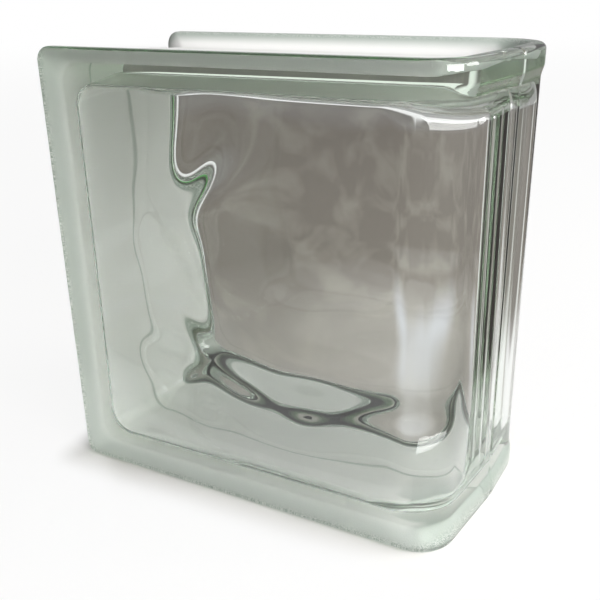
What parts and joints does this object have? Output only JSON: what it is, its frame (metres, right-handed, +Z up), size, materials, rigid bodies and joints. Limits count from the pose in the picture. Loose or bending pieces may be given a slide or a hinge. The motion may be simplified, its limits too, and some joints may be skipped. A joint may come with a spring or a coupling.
{
  "type": "glass block",
  "caption": "Hollow pressed glass building block with wavy inner faces, mortar channels on its sides and a rounded, finished end.",
  "frame": {"origin": "centre of the bounding box at the bottom: on the floor, midway between the faces and midway along the width", "axes": "+Z up, +X towards the rounded, finished end, +Y from the front face to the rear face"},
  "size_m": [0.193, 0.0984, 0.197],
  "materials": {
    "glass_front": "fire-polished, clear with a faint green tint",
    "glass_rear": "fire-polished, clear with a faint green tint"
  },
  "bodies": {
    "root": {"front_half": "glass_front", "rear_half": "glass_rear"}
  },
  "joints": []
}
